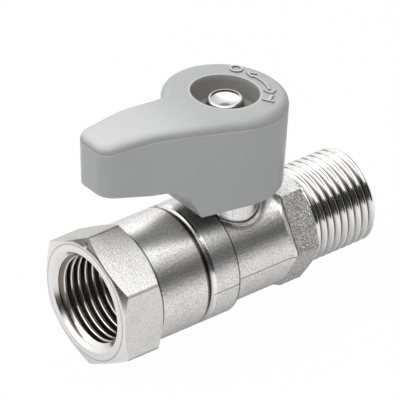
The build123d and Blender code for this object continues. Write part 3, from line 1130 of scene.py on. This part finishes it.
@dataclass
class LeverMarks:
    """Raised marks beside the stem: a ring, a double arrow and a bar.

    Attributes:
        height: How far they stand above the lever's top, in millimetres.
        sunk: How far they reach below it.
        soft_edge: Width of the rounding on their edges, in metres.
        probe_height: Height from which the top is looked for, in metres.
    """

    height: float = 0.36
    sunk: float = 0.12
    soft_edge: float = 0.00009
    probe_height: float = 0.06
    weld: float = 2e-6
    crisp_angle: float = 35.0
    line: float = 0.52
    wide_line: float = 0.8
    ring_centre: Point = (7.9, 6.5)
    ring_radius: float = 1.2
    arrow_radius: float = 9.3
    arrow_sweep: Span = (14.5, -27.0)
    upper_tip: Point = (8.8, 4.1)
    upper_backs: tuple[Point, ...] = ((8.63, 1.78), (10.29, 2.5))
    lower_tip: Point = (7.68, -5.7)
    lower_backs: tuple[Point, ...] = ((7.25, -3.73), (9.29, -4.92))
    bar_ends: tuple[Point, Point] = ((4.49, -6.71), (5.95, -8.85))
    stem_ends: tuple[Point, Point] = ((7.4, -6.35), (5.4, -7.65))

    def outlines(self) -> list[np.ndarray]:
        """Outlines of the marks in plan, from the stem's axis.

        Returns:
            Strips of point pairs.
        """
        strips = [
            self._arc(self.ring_centre, self.ring_radius, (0.0, 360.0), 48),
            self._arc((0.0, 0.0), self.arrow_radius, self.arrow_sweep, 24),
            self._stroke(*self.bar_ends, self.line),
            self._stroke(*self.stem_ends, self.wide_line),
        ]
        for tip, backs in ((self.upper_tip, self.upper_backs), (self.lower_tip, self.lower_backs)):
            strips.extend(self._stroke(tip, back, self.line) for back in backs)
        return strips

    def _arc(self, centre: Point, radius: float, sweep: Span, count: int) -> np.ndarray:
        """Band along an arc.

        Args:
            centre: Centre of the arc.
            radius: Radius of the band's middle.
            sweep: First and last angle in degrees.
            count: Number of steps.

        Returns:
            Pairs of points, inner and outer.
        """
        angle = np.radians(np.linspace(*sweep, count + 1))
        way = np.stack([np.cos(angle), np.sin(angle)], axis=-1)
        middle = np.array(centre)
        inner = middle + way * (radius - self.line / 2.0)
        outer = middle + way * (radius + self.line / 2.0)
        return np.stack([inner, outer], axis=1)

    @staticmethod
    def _stroke(first: Point, last: Point, width: float) -> np.ndarray:
        """Straight line.

        Args:
            first: Where it starts.
            last: Where it ends.
            width: Its width.

        Returns:
            Pairs of points on its two sides.
        """
        start, end = np.array(first), np.array(last)
        way = (end - start) / np.linalg.norm(end - start)
        side = np.array([-way[1], way[0]]) * width / 2.0
        middle = start + (end - start) * np.linspace(0.0, 1.0, 7)[:, None]
        return np.stack([middle - side, middle + side], axis=1)

    def build(self, nodes: dict[str, bpy.types.Object]) -> bpy.types.Object:
        """Lays the marks on the handle's top.

        Args:
            nodes: The solids by name.

        Returns:
            The marks as one piece.
        """
        source = bmesh.new()
        source.from_mesh(nodes["handle"].data)
        tree = BVHTree.FromBMesh(source)
        form = bmesh.new()
        for strip in self.outlines():
            self._add_strip(form, tree, strip)
        source.free()
        bmesh.ops.remove_doubles(form, verts=form.verts, dist=self.weld)
        bmesh.ops.recalc_face_normals(form, faces=form.faces)
        piece = mesh_object("lever_marks", mesh_from(form, "lever_marks"))
        piece.data.materials.append(RaisedMoulding().material())
        shade(piece.data, self.crisp_angle)
        soft = piece.modifiers.new("soft_edges", "BEVEL")
        soft.width = self.soft_edge
        soft.segments = 2
        soft.limit_method = "ANGLE"
        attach(piece, "lever")
        return piece

    def _add_strip(self, form: bmesh.types.BMesh, tree: BVHTree, strip: np.ndarray) -> None:
        """Adds one closed, raised strip.

        Args:
            form: The mesh being built.
            tree: The handle's surface.
            strip: Pairs of points in plan, in millimetres.
        """
        closed = bool(np.allclose(strip[0], strip[-1]))
        rows = []
        for pair in strip:
            row = []
            for x, y in pair:
                start = Vector(((STEM_X + x) * MM, y * MM, self.probe_height))
                hit = tree.ray_cast(start, Vector((0.0, 0.0, -1.0)))[0]
                for lift in (self.height, -self.sunk):
                    row.append(form.verts.new((start.x, start.y, hit.z + lift * MM)))
            rows.append(row)
        for low, high in zip(rows, rows[1:]):
            ring = low + high
            for face in ((0, 2, 6, 4), (1, 5, 7, 3), (0, 4, 5, 1), (2, 3, 7, 6)):
                form.faces.new([ring[index] for index in face])
        if not closed:
            for row in (rows[0], rows[-1]):
                form.faces.new((row[0], row[1], row[3], row[2]))


class Fittings:
    """Solids that only need their finish."""

    def dress(self, nodes: dict[str, bpy.types.Object]) -> None:
        """Gives each solid its finish.

        Args:
            nodes: The solids by name.
        """
        finishes: dict[Finish, tuple[str, ...]] = {
            GreyMoulding(): ("handle",),
            BrightSteel(): ("handle_washer", "handle_screw"),
            TurnedNickel(): ("stem",),
            PolishedBall(): ("ball",),
            SeatPlastic(): ("seat_inlet", "seat_outlet", "cap_seal", "stem_washer"),
            SealRubber(): ("stem_o_ring_lower", "stem_o_ring_upper"),
            PLATED[Area.BLASTED]: ("body", "end_cap"),
        }
        for finish, names in finishes.items():
            for name in names:
                for slot in nodes[name].material_slots:
                    slot.material = finish.material()
                LOG.info("%s dressed as %s", name, finish.label)


@dataclass
class Studio:
    """Floor, soft light, world and camera, in metres and degrees.

    Attributes:
        far_left: Colour of the floor's far left, seen in glossy pieces only.
        shown_floor: Share of its own light that the floor shows the camera.
    """

    floor_height: float = -0.01562
    floor_reach: float = 3.0
    floor_colour: Colour = (0.88, 0.88, 0.88)
    far_left: Colour = (0.06, 0.055, 0.05)
    shown_floor: float = 0.985
    lens: float = 672.15
    azimuth: float = -37.66
    elevation: float = 32.68
    distance: float = 1.56
    shift_right: float = -0.00519
    shift_up: float = 0.00912
    box_along: Span = (-0.60, 0.19)
    box_across: Span = (-0.27, 0.36)
    box_height: float = 0.25
    box_radiance: float = 1.24

    def build(self) -> None:
        """Sets the whole stage."""
        self.add_floor()
        self.add_world()
        self.add_overhead()
        self.add_camera()

    def add_floor(self) -> None:
        """White floor that keeps a faint shadow."""
        form = bmesh.new()
        bmesh.ops.create_grid(form, x_segments=4, y_segments=4, size=self.floor_reach)
        bmesh.ops.translate(form, vec=(0.0, 0.0, self.floor_height), verts=form.verts)
        mesh = mesh_from(form, "floor")
        material = bpy.data.materials.new("floor_white")
        material.use_nodes = True
        graph = Graph(material.node_tree)
        path = graph.add("ShaderNodeLightPath")
        glossy = path.out("Is Glossy Ray")
        far_left = graph.along(0).ramp(-45.0, -75.0) * glossy
        pale = graph.blend(far_left, self.floor_colour, self.far_left)
        matt = graph.add("ShaderNodeBsdfDiffuse", {}, {"Color": pale})
        glow = graph.add("ShaderNodeEmission", {}, {"Color": WHITE})
        near_side = graph.along(1).ramp(-16.0, -60.0)
        mirrored = glossy * (1.0 - far_left) * (near_side * 0.6 + 0.08)
        shown = path.out("Is Camera Ray") * self.shown_floor + mirrored
        mixed = graph.add("ShaderNodeMixShader", {}, {0: shown, 1: matt.out(0), 2: glow.out(0)})
        graph.add("ShaderNodeOutputMaterial", {}, {"Surface": mixed.out(0)})
        mesh.materials.append(material)
        mesh_object("floor", mesh)

    def add_world(self) -> None:
        """Pale room: light behind and above, darker on the camera's side."""
        world = bpy.data.worlds.new("studio")
        bpy.context.scene.world = world
        world.use_nodes = True
        graph = Graph(world.node_tree)
        east, north, height = graph.parts(graph.add("ShaderNodeTexCoord").out("Generated"))
        back_wall = (north - height * 0.2).ramp(0.1, 0.5)
        front = (north * -1.0).ramp(0.2, 0.5)
        left = (east * -1.0).ramp(0.72, 0.9)
        overhead = height.ramp(0.76, 0.84)
        seen = back_wall * 0.72 + 0.3 - front * 0.27 - left * 0.5
        seen = seen + overhead * 0.7 * (1.0 - back_wall)
        soft = height.ramp(0.2, 0.9) * 0.3 + 0.05
        path = graph.add("ShaderNodeLightPath")
        glossy = path.out("Is Glossy Ray")
        level = seen.at_least(0.02) * glossy + soft * (1.0 - glossy)
        sky = graph.add("ShaderNodeBackground", {}, {"Color": WHITE, "Strength": level})
        white = graph.add("ShaderNodeBackground", {}, {"Color": WHITE})
        inputs = {0: path.out("Is Camera Ray"), 1: sky.out(0), 2: white.out(0)}
        mixed = graph.add("ShaderNodeMixShader", {}, inputs)
        graph.add("ShaderNodeOutputWorld", {}, {"Surface": mixed.out(0)})

    def add_overhead(self) -> None:
        """Large, level softbox over the valve, further out on the lever's side."""
        left, right = self.box_along
        near, far = self.box_across
        data = bpy.data.lights.new("overhead_softbox", "AREA")
        data.shape = "RECTANGLE"
        data.size, data.size_y = right - left, far - near
        data.energy = self.box_radiance * data.size * data.size_y * math.pi
        lamp = bpy.data.objects.new("overhead_softbox", data)
        bpy.context.scene.collection.objects.link(lamp)
        lamp.location = ((left + right) / 2.0, (near + far) / 2.0, self.box_height)
        lamp.visible_camera = False

    def add_camera(self) -> None:
        """Camera at the photograph's angle."""
        azimuth, elevation = math.radians(self.azimuth), math.radians(self.elevation)
        level = math.cos(elevation)
        back = Vector((math.sin(azimuth) * level, -math.cos(azimuth) * level, math.sin(elevation)))
        right = Vector((math.cos(azimuth), math.sin(azimuth), 0.0))
        up = back.cross(right)
        target = Vector((STEM_X * MM, 0.0, 0.0)) + right * self.shift_right + up * self.shift_up
        data = bpy.data.cameras.new("camera")
        data.lens = self.lens
        data.sensor_width = 36.0
        data.clip_start = 0.05
        data.clip_end = 20.0
        camera = bpy.data.objects.new("camera", data)
        bpy.context.scene.collection.objects.link(camera)
        camera.location = target + back * self.distance
        camera.rotation_euler = back.to_track_quat("Z", "Y").to_euler()
        bpy.context.scene.camera = camera


def main() -> None:
    """Builds the dressed valve and its stage."""
    logging.basicConfig(level=logging.INFO, format="%(name)s: %(message)s")
    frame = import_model()
    bpy.context.scene.view_settings.view_transform = "Standard"
    nodes = frame["nodes"]
    Fittings().dress(nodes)
    female = PipeThread(
        start=-3.0, end=12.2, wall_radius=8.6, crest_radius=9.335, root_radius=10.48
    )
    male = PipeThread(
        start=50.75, end=68.0, wall_radius=12.0, crest_radius=10.46, root_radius=9.32,
        fade_start=1.9, clear_radius=10.52, crest_round=0.40, root_round=0.098,
    )
    for piece in (
        FemaleEnd("end_cap", "end_cap_threaded", "valve", female),
        MaleBody("body", "body_threaded", "valve", male),
        LeverMarks(),
    ):
        made = piece.build(nodes)
        LOG.info("%s has %d faces", made.name, len(made.data.polygons))
    Studio().build()


if __name__ == "__main__":
    main()
